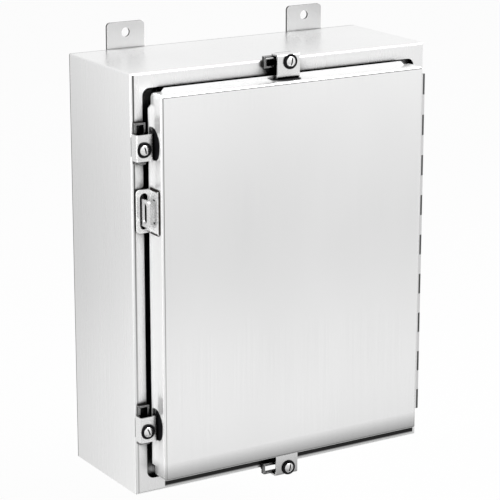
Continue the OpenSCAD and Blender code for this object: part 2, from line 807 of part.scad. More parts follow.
module switch_base() {
    color([0.16, 0.16, 0.17]) difference() {
        union() {
            panel_block(-base_half_w, base_half_w, 0, base_t, base_bottom, base_top);
            for (x = [-pole_pitch / 2, pole_pitch / 2])
                panel_block(x - barrier_t / 2, x + barrier_t / 2, base_t - eps, barrier_end,
                            base_bottom, base_top);
            for (i = [-1, 1])
                panel_block(i * side_wall_x - barrier_t / 2, i * side_wall_x + barrier_t / 2,
                            base_t - eps, barrier_end, lug_z - wall_drop, base_top);
            for (i = [-1, 1])
                panel_block(i * side_wall_x - barrier_t / 2, i * side_wall_x + barrier_t / 2,
                            barrier_end - eps, shield_rod_d + 4, shield_rod_z - 5, base_top);
        }
        rod_x(on_panel(-base_half_w - 1, shield_rod_d, shield_rod_z), 2 * base_half_w + 2,
              shield_rod_r + pin_gap);
        base_screw_holes();
    }
}

module fuse_base() {
    color([0.16, 0.16, 0.17]) difference() {
        union() {
            panel_block(-base_half_w, base_half_w, 0, base_t, fuse_base_bottom, fuse_base_top);
            for (x = [-pole_pitch / 2, pole_pitch / 2])
                panel_block(x - barrier_t / 2, x + barrier_t / 2, base_t - eps, barrier_end - 10,
                            fuse_base_bottom, fuse_base_top);
        }
        base_screw_holes();
    }
}

// Places of the screws that hold the two bases to the panel
slot_half = 0.6;
base_screw_r = 2.4;
base_screw_x = pole_pitch + base_screw_out;
BASE_SCREWS = [
    for (i = [-1, 1], z = [base_top - base_screw_in, base_bottom + base_screw_in,
                           fuse_base_top - base_screw_in,
                           fuse_base_bottom + base_screw_in]) [i * base_screw_x, z]
];

module base_screw_holes() {
    for (p = BASE_SCREWS)
        rod_front(on_panel(p[0], -2 * panel_t, p[1]), base_t + 3 * panel_t,
                  base_screw_r + pin_gap);
}

module base_screws() {
    color([0.72, 0.73, 0.74]) for (p = BASE_SCREWS) difference() {
        union() {
            rod_front(on_panel(p[0], -2 * panel_t, p[1]), base_t + 2 * panel_t + eps,
                      base_screw_r);
            rod_front(on_panel(p[0], base_t, p[1]), base_screw_r, 2 * base_screw_r);
        }
        panel_block(p[0] - slot_half, p[0] + slot_half, base_t + base_screw_r / 2,
                    base_t + 2 * base_screw_r,
                    p[1] - 3 * base_screw_r, p[1] + 3 * base_screw_r);
    }
}

module line_lugs() {
    color([0.78, 0.79, 0.8]) for (x = POLES) lug(x, lug_back, lug_z, true);
}

module line_lug_screws() {
    color([0.66, 0.67, 0.68]) for (x = POLES) lug_screw(x, lug_back, lug_z);
}

// Each jaw is a strap under its lug with two leaves that grip the blade
module line_jaws() {
    jaw_w = 2;
    jaw_half = 9;
    color([0.78, 0.46, 0.3]) for (x = POLES) {
        panel_block(x - strap_w / 2, x + strap_w / 2, base_t, strap_d, jaw_z - jaw_half - 1,
                    lug_z + lug_h);
        for (i = [-1, 1])
            panel_block(x + i * (post_half + jaw_w / 2) - jaw_w / 2,
                        x + i * (post_half + jaw_w / 2) + jaw_w / 2,
                        strap_d - eps, pivot_d + blade_w / 2 + jaw_w,
                        jaw_z - jaw_half, jaw_z + jaw_half);
    }
}

module arc_chutes() {
    wall = 2.5;
    half = 13;
    top = jaw_z + 12;
    color([0.62, 0.6, 0.56]) for (x = POLES) {
        for (i = [-1, 1])
            panel_block(x + i * half - wall / 2, x + i * half + wall / 2,
                        base_t, barrier_end - 4, jaw_z - 16, top);
        panel_block(x - half - wall / 2, x + half + wall / 2, strap_d + run_gap,
                    barrier_end - 4, top - wall, top);
    }
}

// A post for each blade: two ears with a pin, on a strap that runs down to
// the upper fuse clip
module blade_posts() {
    color([0.78, 0.46, 0.3]) for (x = POLES) difference() {
        union() {
            panel_block(x - strap_w / 2, x + strap_w / 2, base_t, strap_d,
                        fuse_z1 - clip_l - post_w, pivot_up + ear_half + 1);
            for (i = [-1, 1])
                panel_block(x + i * (post_half + post_w / 2) - post_w / 2,
                            x + i * (post_half + post_w / 2) + post_w / 2,
                            strap_d - eps, pivot_d + blade_w / 2,
                            pivot_up - ear_half, pivot_up + ear_half);
        }
        rod_x(on_panel(x - strap_w / 2, pivot_d, pivot_up), strap_w, pivot_r + pin_gap);
    }
}

module blade_pins() {
    l = 2 * (post_half + post_w) + 3;
    color([0.7, 0.71, 0.72]) for (x = POLES)
        rod_x(on_panel(x - l / 2, pivot_d, pivot_up), l, pivot_r);
}

module switch_blades() {
    color([0.8, 0.5, 0.34]) for (x = POLES) difference() {
        union() {
            panel_block(x - blade_t / 2, x + blade_t / 2, pivot_d - blade_w / 2,
                        pivot_d + blade_w / 2, pivot_up, pivot_up + blade_tip);
            rod_x(on_panel(x - blade_t / 2, pivot_d, pivot_up), blade_t, blade_w / 2);
        }
        rod_x(on_panel(x - blade_t, pivot_d, pivot_up), 2 * blade_t, pivot_r + pin_gap);
    }
}

// The insulating bar that ties the blades together and carries the lever
crossbar_z = pivot_up + crossbar_up;
crossbar_d = barrier_end + 1 + crossbar_s / 2;
crossbar_x0 = -pole_pitch - crossbar_out;
crossbar_x1 = base_half_w + 5;
saddle_w = 16;

module blade_crossbar() {
    half = crossbar_s / 2;
    color([0.35, 0.12, 0.1]) difference() {
        union() {
            panel_block(crossbar_x0, crossbar_x1, crossbar_d - half, crossbar_d + half,
                        crossbar_z - half, crossbar_z + half);
            for (x = POLES)
                panel_block(x - saddle_w / 2, x + saddle_w / 2, pivot_d - blade_w / 2 - 3,
                            crossbar_d, crossbar_z - half, crossbar_z + half);
        }
        for (x = POLES)
            panel_block(x - blade_t / 2, x + blade_t / 2, pivot_d - blade_w / 2,
                        pivot_d + blade_w / 2, pivot_up, pivot_up + blade_tip);
        lever_screw_holes();
    }
}

// The lever runs outwards from the pivot's line through the crossbar's end
lever_lean = atan2(crossbar_d - pivot_d, crossbar_z - pivot_up);
lever_from = norm([crossbar_d - pivot_d, crossbar_z - pivot_up]);
lever_t = 5;
lever_w = 16;
lever_screw_r = 2;
lever_screw_l = 12;
lever_screw_off = 5;
lever_foot = 8;
grip_l = 46;

module leaned() {
    translate(on_panel(0, pivot_d, pivot_up)) rotate([lever_lean, 0, 0]) children();
}

module lever_screw_holes() {
    leaned() for (k = [-1, 1])
        rod_x([crossbar_x1 - lever_screw_l, 0, lever_from + k * lever_screw_off],
              lever_screw_l + lever_t + 1, lever_screw_r + pin_gap);
}

module switch_lever() {
    color([0.7, 0.71, 0.72]) difference() {
        leaned() union() {
            block([crossbar_x1, -lever_w / 2, lever_from - lever_foot],
                  [crossbar_x1 + lever_t, lever_w / 2, lever_l]);
            rod_x([crossbar_x1, 0, lever_from - lever_foot], lever_t, lever_w / 2);
            rod_x([crossbar_x1, 0, lever_l], lever_t, lever_w / 2);
        }
        lever_screw_holes();
    }
}

module lever_screws() {
    color([0.6, 0.61, 0.62]) leaned() for (k = [-1, 1]) {
        rod_x([crossbar_x1 - lever_screw_l + 0.5, 0, lever_from + k * lever_screw_off],
              lever_screw_l + lever_t, lever_screw_r);
        rod_x([crossbar_x1 + lever_t, 0, lever_from + k * lever_screw_off],
              lever_screw_r, 1.8 * lever_screw_r);
    }
}

module lever_grip() {
    color([0.75, 0.1, 0.08]) leaned()
        rod_x([crossbar_x1 + lever_t, 0, lever_l], grip_l, grip_r);
}

// ---------- fuses ----------

module fuse_clip(x, z) {
    arm = ferrule_r + run_gap;
    panel_block(x - arm - clip_t, x + arm + clip_t, strap_d, strap_d + clip_saddle,
                z - clip_l / 2, z + clip_l / 2);
    for (i = [-1, 1])
        panel_block(x + i * (arm + clip_t / 2) - clip_t / 2, x + i * (arm + clip_t / 2) + clip_t / 2,
                    strap_d + clip_saddle - eps, clip_arm_d, z - clip_l / 2 + 1,
                    z + clip_l / 2 - 1);
}

module fuse_clips() {
    color([0.8, 0.62, 0.35]) for (x = POLES) {
        fuse_clip(x, fuse_z1 - clip_l / 2);
        fuse_clip(x, fuse_z0 + clip_l / 2);
        panel_block(x - strap_w / 2, x + strap_w / 2, base_t, strap_d, load_lug_z,
                    fuse_z0 + clip_l);
    }
}

module load_lugs() {
    color([0.78, 0.79, 0.8]) for (x = POLES) lug(x, lug_back, load_lug_z, false);
}

module load_lug_screws() {
    color([0.66, 0.67, 0.68]) for (x = POLES) lug_screw(x, lug_back, load_lug_z);
}

module fuse_tube(n) {
    color([0.93, 0.9, 0.8]) translate(on_panel(POLES[n - 1], fuse_d, fuse_z0 + 2))
        cylinder(h = fuse_l - 4, r = fuse_r);
}

module fuse_ferrules(n) {
    color([0.8, 0.62, 0.35]) for (z = [fuse_z0, fuse_z1 - ferrule_l]) difference() {
        translate(on_panel(POLES[n - 1], fuse_d, z)) cylinder(h = ferrule_l, r = ferrule_r);
        translate(on_panel(POLES[n - 1], fuse_d, fuse_z0 + 2))
            cylinder(h = fuse_l - 4, r = fuse_r);
    }
}

// ---------- line shield ----------

module shield_rod() {
    color([0.7, 0.71, 0.72])
        rod_x(on_panel(-base_half_w, shield_rod_d, shield_rod_z), 2 * base_half_w, shield_rod_r);
}

// A clear plate that hangs straight down from the roll that turns on the rod
module line_shield() {
    half = side_wall_x - barrier_t / 2 - run_gap;
    color([0.8, 0.88, 0.92, 0.5]) difference() {
        union() {
            panel_block(-half, half, shield_rod_d - shield_t / 2, shield_rod_d + shield_t / 2,
                        shield_low_z, shield_rod_z);
            rod_x(on_panel(-half, shield_rod_d, shield_rod_z), 2 * half, shield_roll_r);
        }
        rod_x(on_panel(-half - 1, shield_rod_d, shield_rod_z), 2 * half + 2,
              shield_rod_r + pin_gap);
    }
}

enclosure_body();
gutter_wall();
gutter_floor();
opening_rim();
mounting_feet();
clamp_brackets();
padlock_staple();
hinge_leaf_body();
hinge_pin();
panel_studs();
panel_nuts();
back_panel();
ground_lug();
ground_screw();
door_panel();
door_gasket();
hinge_leaf_door();
padlock_hasp();
document_pocket();
clamp_plate(1);  // clamp_plate_1
clamp_plate(2);  // clamp_plate_2
clamp_plate(3);  // clamp_plate_3
clamp_plate(4);  // clamp_plate_4
clamp_nut(1);  // clamp_nut_1
clamp_nut(2);  // clamp_nut_2
clamp_nut(3);  // clamp_nut_3
clamp_nut(4);  // clamp_nut_4
clamp_washer(1);  // clamp_washer_1
clamp_washer(2);  // clamp_washer_2
clamp_washer(3);  // clamp_washer_3
clamp_washer(4);  // clamp_washer_4
clamp_screw(1);  // clamp_screw_1
clamp_screw(2);  // clamp_screw_2
clamp_screw(3);  // clamp_screw_3
clamp_screw(4);  // clamp_screw_4
switch_base();
fuse_base();
base_screws();
line_lugs();
line_lug_screws();
line_jaws();
arc_chutes();
blade_posts();
blade_pins();
switch_blades();
blade_crossbar();
switch_lever();
lever_screws();
lever_grip();
fuse_clips();
load_lugs();
load_lug_screws();
fuse_tube(1);  // fuse_tube_1
fuse_tube(2);  // fuse_tube_2
fuse_tube(3);  // fuse_tube_3
fuse_ferrules(1);  // fuse_ferrules_1
fuse_ferrules(2);  // fuse_ferrules_2
fuse_ferrules(3);  // fuse_ferrules_3
shield_rod();
line_shield();
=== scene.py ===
"""A wall-mounted fused disconnect switch: finishes, fine detail, studio and camera.

Everything is in metres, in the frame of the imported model: +Z up, the door
faces -Y, and the origin is the centre of the wall holes.
"""
import json
import math
import random

import bmesh
import bpy
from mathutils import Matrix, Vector


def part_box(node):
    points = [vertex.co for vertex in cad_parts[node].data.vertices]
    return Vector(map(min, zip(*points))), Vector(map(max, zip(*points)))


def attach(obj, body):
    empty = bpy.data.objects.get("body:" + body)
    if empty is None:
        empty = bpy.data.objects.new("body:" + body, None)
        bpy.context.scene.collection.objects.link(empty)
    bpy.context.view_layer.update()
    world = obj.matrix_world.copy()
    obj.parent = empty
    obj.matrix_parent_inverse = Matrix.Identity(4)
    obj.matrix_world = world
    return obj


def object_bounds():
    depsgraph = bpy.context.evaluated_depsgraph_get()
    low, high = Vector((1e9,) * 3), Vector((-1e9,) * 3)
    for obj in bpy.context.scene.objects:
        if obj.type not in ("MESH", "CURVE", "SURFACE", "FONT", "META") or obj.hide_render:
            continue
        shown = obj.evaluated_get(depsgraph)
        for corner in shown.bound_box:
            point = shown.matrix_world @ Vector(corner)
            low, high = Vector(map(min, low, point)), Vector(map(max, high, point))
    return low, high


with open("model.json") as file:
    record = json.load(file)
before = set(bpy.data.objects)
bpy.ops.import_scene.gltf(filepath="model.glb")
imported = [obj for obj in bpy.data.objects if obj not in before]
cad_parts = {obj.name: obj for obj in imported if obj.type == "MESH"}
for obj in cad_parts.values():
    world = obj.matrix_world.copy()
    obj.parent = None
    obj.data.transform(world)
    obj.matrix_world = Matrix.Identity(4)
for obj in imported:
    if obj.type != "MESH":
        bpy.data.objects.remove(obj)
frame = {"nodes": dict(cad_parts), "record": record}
cad_low, cad_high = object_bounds()
NODES = frame["nodes"]
MM = 0.001
BODY_LOW, BODY_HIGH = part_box("enclosure_body")
WALL_X, WALL_Z = 180.7 * MM, 231 * MM   # half the width and height of the door's raised face
CLAMPS = (1, 2, 3, 4)
FUSES = (1, 2, 3)
random.seed(7)


# ---------- camera ----------

VIEW_AZIMUTH = math.radians(-31.3)
VIEW_ELEVATION = math.radians(15.3)
VIEW_DISTANCE = 2.628
VIEW_AIM = Vector((0.0006, -0.0800, 0.0021))
LENS = 153.5
SENSOR = 36.0
CLIP_END = 100.0


def view_direction(azimuth, elevation):
    """From the object towards a viewer at that azimuth and elevation."""
    return Vector((math.sin(azimuth) * math.cos(elevation),
                   -math.cos(azimuth) * math.cos(elevation),
                   math.sin(elevation)))


def aim(obj, target):
    """Turns a lamp or camera to face a point."""
    obj.rotation_euler = (target - obj.location).to_track_quat("-Z", "Y").to_euler()


def add_camera():
    data = bpy.data.cameras.new("camera")
    data.lens = LENS
    data.sensor_width = SENSOR
    data.clip_end = CLIP_END
    camera = bpy.data.objects.new("camera", data)
    bpy.context.scene.collection.objects.link(camera)
    camera.location = VIEW_AIM + VIEW_DISTANCE * view_direction(VIEW_AZIMUTH, VIEW_ELEVATION)
    aim(camera, VIEW_AIM)
    bpy.context.scene.camera = camera


# ---------- materials ----------

CREVICE_SAMPLES = 12
SMALL_CREVICE_SAMPLES = 6               # for the gaps round small metal pieces
BEVEL_SAMPLES = 6
EDGE_FROM, EDGE_FULL = 0.99, 0.86       # cosine of the turn where an edge starts and is in full
FRONT_FROM, FRONT_FULL = -0.9, -0.98    # normal's Y where a surface starts to be a front face
LINE_CORE, LINE_END = 0.3, 0.7          # shares of its width where a line starts and ends to fade
COLOUR_A, COLOUR_B, COLOUR_OUT = 6, 7, 2    # the Mix node's sockets for colours


class Shader:
    """A material being built: adds nodes and links them by name.

    Inputs are given as keywords, with _ for a space in their names.
    """

    def __init__(self, name):
        self.material = bpy.data.materials.new(name)
        self.material.use_nodes = True
        self.tree = self.material.node_tree
        self.bsdf = self.tree.nodes["Principled BSDF"]
        self.coords = self.add("ShaderNodeTexCoord").outputs["Object"]

    def add(self, kind, **settings):
        """A new node with these attributes, or else inputs, set."""
        node = self.tree.nodes.new(kind)
        for key, value in settings.items():
            if hasattr(node, key):
                setattr(node, key, value)
            else:
                node.inputs[key.replace("_", " ")].default_value = value
        return node

    def link(self, source, target):
        self.tree.links.new(source, target)

    def noise(self, scale, detail, distortion=0.0):
        """A noise value whose scale is given along each axis, per metre."""
        mapping = self.add("ShaderNodeMapping", Scale=scale)
        self.link(self.coords, mapping.inputs["Vector"])
        noise = self.add("ShaderNodeTexNoise", Scale=1.0, Detail=detail, Distortion=distortion)
        self.link(mapping.outputs["Vector"], noise.inputs["Vector"])
        return noise.outputs["Fac"]

    def ranged(self, value, low, high, to_low=0.0, to_high=1.0):
        """A value taken from one range to another, and held at its ends."""
        node = self.add("ShaderNodeMapRange", From_Min=low, From_Max=high,
                        To_Min=to_low, To_Max=to_high)
        self.link(value, node.inputs["Value"])
        return node.outputs["Result"]

    def math(self, operation, a, b=0.0):
        """The result of a Math node, for numbers or outputs."""
        node = self.add("ShaderNodeMath", operation=operation)
        for socket, value in zip(node.inputs, (a, b)):
            if isinstance(value, (int, float)):
                socket.default_value = value
            else:
                self.link(value, socket)
        return node.outputs["Value"]

    def mix(self, fac, a, b):
        """A colour mixed from two, each a colour or an output."""
        node = self.add("ShaderNodeMix", data_type="RGBA")
        self.link(fac, node.inputs["Factor"])
        for socket, value in ((COLOUR_A, a), (COLOUR_B, b)):
            if isinstance(value, tuple):
                node.inputs[socket].default_value = (*value, 1.0)
            else:
                self.link(value, node.inputs[socket])
        return node.outputs[COLOUR_OUT]

    def gap_shade(self, reach, floor_at, open_at, samples=CREVICE_SAMPLES):
        """A mask for painted shade in gaps: 0 deep inside gaps narrower than reach, 1 on open
        surfaces.

        floor_at, open_at: the openness, 0 to 1, at which it is 0 and 1
        """
        node = self.add("ShaderNodeAmbientOcclusion", samples=samples, Distance=reach)
        return self.ranged(node.outputs["AO"], floor_at, open_at)

    def edge(self, radius):
        """1 along sharp edges, within radius of them, and 0 elsewhere."""
        bevel = self.add("ShaderNodeBevel", samples=BEVEL_SAMPLES, Radius=radius)
        geometry = self.add("ShaderNodeNewGeometry")
        dot = self.add("ShaderNodeVectorMath", operation="DOT_PRODUCT")
        self.link(bevel.outputs["Normal"], dot.inputs[0])
        self.link(geometry.outputs["Normal"], dot.inputs[1])
        return self.ranged(dot.outputs["Value"], EDGE_FROM, EDGE_FULL)

    def split(self, vector, axis):
        """One component of a vector, by the name of its axis."""
        node = self.add("ShaderNodeSeparateXYZ")
        self.link(vector, node.inputs["Vector"])
        return node.outputs[axis]

    def axis(self, axis):
        """The place along X, Y or Z, in metres."""
        return self.split(self.coords, axis)

    def normal(self, axis):
        """One component of the surface's own normal."""
        return self.split(self.add("ShaderNodeTexCoord").outputs["Normal"], axis)

    def away(self, axis, place):
        """The distance from a place along an axis, in metres."""
        return self.math("ABSOLUTE", self.math("SUBTRACT", self.axis(axis), place))

    def facing(self, axis):
        """How squarely the surface faces along an axis, either way, 0 to 1."""
        return self.math("ABSOLUTE", self.normal(axis))

    def front_shade_lines(self, lines):
        """How strong the thin lines of painted shade on the front face are here.

        Each line: (axis it is measured on, place, width, its middle, half its
        length, strength at the bottom of the object, strength at its top)
        """
        total = 0.0
        for axis, place, width, middle, half, low, high in lines:
            near = self.ranged(self.away(axis, place), width * LINE_CORE, width * LINE_END,
                               1.0, 0.0)
            along = self.away("X" if axis == "Z" else "Z", middle)
            near = self.math("MULTIPLY", near, self.ranged(along, half, half + MM, 1.0, 0.0))
            strength = self.ranged(self.axis("Z"), BODY_LOW.z, BODY_HIGH.z, low, high)
            total = self.math("MAXIMUM", self.math("MULTIPLY", near, strength), total)
        front = self.ranged(self.normal("Y"), FRONT_FROM, FRONT_FULL)
        return self.math("MULTIPLY", total, front)

    def bump(self, height, strength, depth):
        """Bumps the surface by a value, which is as deep as depth at a strength of 1."""
        node = self.add("ShaderNodeBump", Strength=strength, Distance=depth)
        self.link(height, node.inputs["Height"])
        self.link(node.outputs["Normal"], self.bsdf.inputs["Normal"])

    def set(self, **settings):
        """Sets the main shader's own inputs."""
        for key, value in settings.items():
            self.bsdf.inputs[key.replace("_", " ")].default_value = value


def grey(value):
    return (value, value, value)


def scaled(colour, share):
    """A colour made darker or lighter, no part over 1."""
    return tuple(min(1, c * share) for c in colour)


# The part of a noise's values, 0 to 1, that is stretched over a pattern's whole range
MIDDLE, NARROW = (0.3, 0.7), (0.35, 0.65)
UPPER, WIDE_UPPER, PATCHES = (0.35, 0.7), (0.35, 0.8), (0.42, 0.75)
# Noise scales along X, Y and Z, per metre
CLOUDS = (5, 5, 3)
BLOTCHES, METAL_GRAIN = (60, 60, 60), (900, 900, 900)
MOTTLE, PEBBLES = (30, 30, 30), (1400, 1400, 1400)
TURNS, FIBRE_MOTTLE = (14, 14, 1600), (45, 45, 20)
CELLS, HAZE, HEAT_TINT = (1500, 1500, 1500), (12, 12, 40), (220, 220, 220)
# Depths of the bumps, see Shader.bump
FINE_DEPTH, GRAIN_DEPTH, CELL_DEPTH = 0.1 * MM, 0.2 * MM, 0.3 * MM
# Tones of steel: of the painted shade deep in a gap, how far its clouds go, and shares of its own
# tone elsewhere
GAP_SHADE_TONE, CLOUD_TONE = 0.012, 0.02
STREAK_TONE, BACK_BAND_TONE, SHADE_LINE_TONE = 0.7, 0.18, 0.03
# How squarely steel faces the front or back: walls up to the first number, faces from the
# second, for the dark back band, for the painted shade on cut edges and for the satin walls
BACK_BAND_WALL, CUT_WALL, SATIN_WALL = (0.1, 0.3), (0.3, 0.6), (0.4, 0.9)
BACK_BAND_CORE = 0.8                         # share of the back band's width that is fully dark
SMOOTHER, ROUGHER = 0.04, 0.05          # how far the grain takes the roughness down and up


def steel(name, tone, roughness, grain, reach, floor_at, open_at, edge_highlight=1.0,
          highlight_radius=0.6 * MM, streak=0.04, side_shade=None, low_shade=None, lines=None, back_band=None,
          cut_edge_shade=None, satin=None):
    """Brushed stainless steel: fine grain, faint clouds, a painted highlight along its edges and
    painted shade in its gaps.

    grain: noise scale of the brushing along X, Y and Z, per metre
    reach, floor_at, open_at: the painted shade in its gaps, see Shader.gap_shade
    edge_highlight, highlight_radius: the tone of the painted highlight along its sharp edges and
    how wide it shows
    streak: strength of the brushed streaks
    side_shade: painted shade on the side walls, darker towards the back: (y at the back, y at the
    front, share of the side walls' tone at the back)
    low_shade: painted shade towards the lower edge: (z at the lower edge, z where it ends, share of
    the tone at the edge)
    lines: thin lines of painted shade along the folds and edges, and a painted shadow under the
    door, see Shader.front_shade_lines
    back_band: (y, half width) of the thin dark band round the walls at the back edge
    cut_edge_shade: tone of the painted shade on the cut edges of a plate that faces the front
    satin: how far the walls that don't face the front scatter light, 0 to 1
    """
    s = Shader(name)
    s.set(Metallic=1.0)
    brushed = s.noise(grain, detail=4)
    cloud = s.noise(CLOUDS, detail=2)
    s.link(s.ranged(brushed, *MIDDLE, roughness - SMOOTHER, roughness + ROUGHER),
           s.bsdf.inputs["Roughness"])
    plain = s.mix(s.ranged(cloud, *NARROW), grey(tone - CLOUD_TONE), grey(tone + CLOUD_TONE))
    fine = s.mix(s.ranged(brushed, *MIDDLE, 0.0, streak), plain, grey(tone * STREAK_TONE))
    # painted shade: the side walls darken towards the back
    if side_shade:
        back, front, share = side_shade
        lost = s.ranged(s.axis("Y"), back, front, 1.0 - share, 0.0)
        fine = s.mix(s.math("MULTIPLY", lost, s.facing("X")), fine, grey(0.0))
    # painted shade: darker towards the lower edge
    if low_shade:
        lower, end, share = low_shade
        fine = s.mix(s.ranged(s.axis("Z"), lower, end, share, 1.0), grey(0.0), fine)
    # painted highlight along the sharp edges
    edged = s.mix(s.edge(highlight_radius), fine, grey(edge_highlight))
    # painted shade: thin dark lines along the folds and edges, and under the door
    if lines:
        edged = s.mix(s.front_shade_lines(lines), edged, grey(tone * SHADE_LINE_TONE))
    if back_band:
        place, half = back_band
        near = s.ranged(s.away("Y", place), half * BACK_BAND_CORE, half, 1.0, 0.0)
        on_wall = s.ranged(s.facing("Y"), *BACK_BAND_WALL, 1.0, 0.0)
        edged = s.mix(s.math("MULTIPLY", near, on_wall), edged, grey(tone * BACK_BAND_TONE))
    # painted shade: the cut edges take this dark tone
    if cut_edge_shade:
        edged = s.mix(s.ranged(s.facing("Y"), *CUT_WALL), grey(cut_edge_shade), edged)
    # painted shade: the colour goes near black deep in the gaps
    s.link(s.mix(s.gap_shade(reach, floor_at, open_at), grey(GAP_SHADE_TONE), edged),
           s.bsdf.inputs["Base Color"])
    if satin:
        s.link(s.ranged(s.facing("Y"), *SATIN_WALL, 1.0 - satin, 1.0),
               s.bsdf.inputs["Metallic"])
    s.bump(brushed, streak, GRAIN_DEPTH)
    return s.material


def plated(name, colour, roughness, tarnish):
    """A plated or plain metal with blotches of tarnish and painted shade in its gaps."""
    most_tarnish, gap_shade_share, spread = 0.35, 0.15, 0.14
    s = Shader(name)
    s.set(Metallic=1.0)
    blotch = s.noise(BLOTCHES, detail=4, distortion=0.6)
    spotted = s.mix(s.ranged(blotch, *PATCHES, 0.0, most_tarnish), colour, tarnish)
    # painted shade: the colour darkens deep in the gaps
    open_metal = s.gap_shade(reach=6 * MM, floor_at=0.1, open_at=0.6,
                           samples=SMALL_CREVICE_SAMPLES)
    s.link(s.mix(open_metal, scaled(colour, gap_shade_share), spotted), s.bsdf.inputs["Base Color"])
    s.link(s.ranged(blotch, *MIDDLE, roughness, roughness + spread), s.bsdf.inputs["Roughness"])
    s.bump(s.noise(METAL_GRAIN, detail=2), strength=0.08, depth=FINE_DEPTH)
    return s.material


def moulded(name, colour, roughness, pebble=0.12, worn_edge=None, shine=0.5):
    """A moulded plastic or a coat of paint: fine pebble, faint mottle, paler edges.

    pebble: strength of the fine bumps
    worn_edge: colour that the sharp edges lean to, or None for the plain colour
    shine: the shader's specular level
    """
    dark, light, wear, wear_radius = 0.93, 1.05, 0.5, 0.5 * MM
    s = Shader(name)
    s.set(Roughness=roughness, Specular_IOR_Level=shine)
    base = s.mix(s.ranged(s.noise(MOTTLE, detail=3), *MIDDLE),
                 scaled(colour, dark), scaled(colour, light))
    worn = s.mix(s.math("MULTIPLY", s.edge(wear_radius), wear), base, worn_edge or colour)
    s.link(worn, s.bsdf.inputs["Base Color"])
    s.bump(s.noise(PEBBLES, detail=2), pebble, FINE_DEPTH)
    return s.material


def fibre(name, colour, thread):
    """A wound fibre tube or fibre board: thin turns of thread with uneven tone."""
    dark, most_thread = 0.88, 0.5
    s = Shader(name)
    s.set(Roughness=0.62)
    turns = s.noise(TURNS, detail=3)
    mottle = s.noise(FIBRE_MOTTLE, detail=3)
    toned = s.mix(s.ranged(mottle, *MIDDLE), colour, scaled(colour, dark))
    s.link(s.mix(s.ranged(turns, *NARROW, 0.0, most_thread), toned, thread),
           s.bsdf.inputs["Base Color"])
    s.bump(turns, strength=0.2, depth=GRAIN_DEPTH)
    return s.material


def foam(name):
    """Closed-cell gasket rubber: matt black, with fine cells."""
    black, worn_black = grey(0.018), grey(0.05)
    s = Shader(name)
    s.set(Roughness=0.85)
    cells = s.noise(CELLS, detail=3)
    s.link(s.mix(s.ranged(cells, *UPPER), black, worn_black), s.bsdf.inputs["Base Color"])
    s.bump(cells, strength=0.35, depth=CELL_DEPTH)
    return s.material


def clear_sheet(name):
    """Clear polycarbonate with faint wiping haze."""
    clearest, haziest = 0.03, 0.16
    s = Shader(name)
    s.set(IOR=1.58, Base_Color=(0.93, 0.97, 0.98, 1.0), Transmission_Weight=1.0)
    haze = s.noise(HAZE, detail=4, distortion=1.0)
    s.link(s.ranged(haze, *WIDE_UPPER, clearest, haziest), s.bsdf.inputs["Roughness"])
    return s.material


def weld_metal(name):
    """A weld left as it came: dark metal, mottled with brown and blue-black."""
    blue_black, brown = (0.010, 0.010, 0.012), (0.05, 0.042, 0.036)
    s = Shader(name)
    s.set(Metallic=1.0, Roughness=0.45)
    tint = s.noise(HEAT_TINT, detail=3)
    s.link(s.mix(s.ranged(tint, *UPPER), blue_black, brown), s.bsdf.inputs["Base Color"])
    s.bump(s.noise(CELLS, detail=2), strength=0.2, depth=FINE_DEPTH)
    return s.material


# How the grain runs: noise scale along X, Y and Z, per metre
UPRIGHT = (700, 700, 6)
EVERY_WAY = (500, 500, 500)
ALONG_HINGE = (600, 600, 12)

# Thin dark lines of painted shade along the folds and edges, and a painted shadow under the door,
# as Shader.front_shade_lines takes them
BODY_SHADE_LINES = (
    ("X", BODY_LOW.x + 3.6 * MM, 2.2 * MM, 0, BODY_HIGH.z, 0.35, 1.0),      # inside the left fold
    ("Z", BODY_LOW.z + 0.7 * MM, 1.2 * MM, 0, BODY_HIGH.x, 0.9, 0.9),       # along the lower edge
    ("Z", -WALL_Z - 15.0 * MM, 7.0 * MM, 17 * MM, WALL_X, 1.0, 1.0),        # under the door
)
DOOR_SHADE_LINES = (
    ("X", -WALL_X + 2.6 * MM, 1.2 * MM, 0, WALL_Z, 0.4, 0.9),               # inside the left fold
    ("Z", WALL_Z - 2.6 * MM, 1.2 * MM, 0, WALL_X, 0.0, 0.7),                # inside the top fold
    ("Z", -WALL_Z + 0.8 * MM, 1.6 * MM, 0, WALL_X, 0.9, 0.9),               # along the lower edge
)
BACK_BAND_HALF = 0.8 * MM                    # half the width of the dark band round the body's back edge
DOOR_SHADE_RISE = 22 * MM                     # how far up from its lower edge the door's painted shade reaches
# Heights at which the painted shade on the fittings is darkest, and where they are plain again
FITTING_DARK, FITTING_PLAIN = BODY_LOW.z - 24 * MM, BODY_LOW.z + 20 * MM

